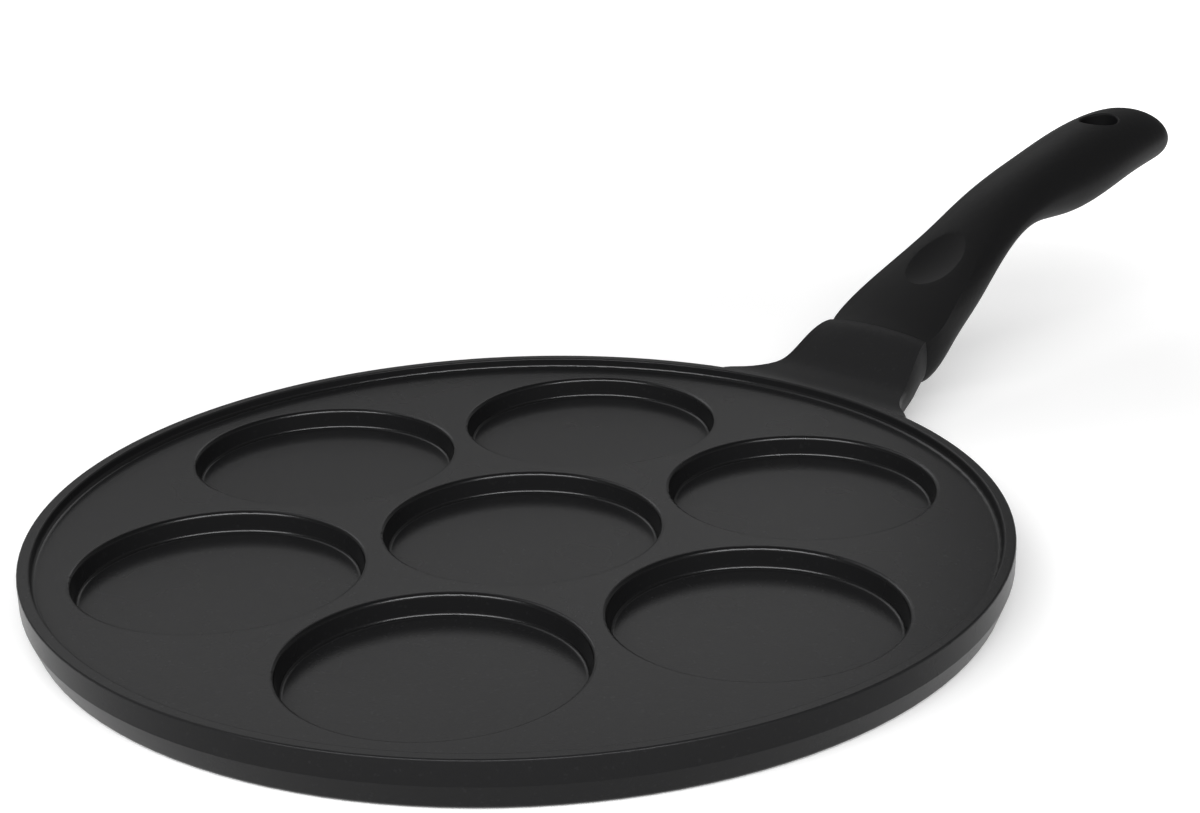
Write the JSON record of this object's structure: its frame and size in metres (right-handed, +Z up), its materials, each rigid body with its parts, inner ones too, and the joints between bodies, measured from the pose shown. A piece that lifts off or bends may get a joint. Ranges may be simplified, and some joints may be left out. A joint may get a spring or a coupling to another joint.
{
  "type": "pancake pan",
  "caption": "Black cast aluminium pan with round wells for small pancakes and a curved dark plastic handle with a hanging hole",
  "frame": {"origin": "Centre of the flat base, on the plane that the pan stands on, in millimetres in the source and metres in the packed row.", "axes": "+X runs from the pan's middle out along its handle, +Z is up out of the wells, and +Y is to the left when looking along the handle from the pan."},
  "size_m": [0.454, 0.26, 0.0696],
  "materials": {
    "nonstick_coat": "die-cast aluminium under a satin black non-stick coat with a fine speckle",
    "handle_plastic": "matte black heat-resisting plastic, very finely textured",
    "screw_steel": "plain steel, lightly brushed"
  },
  "bodies": {
    "root": {"pan_body": "nonstick_coat", "handle": "handle_plastic", "handle_screw": "screw_steel"}
  },
  "joints": []
}
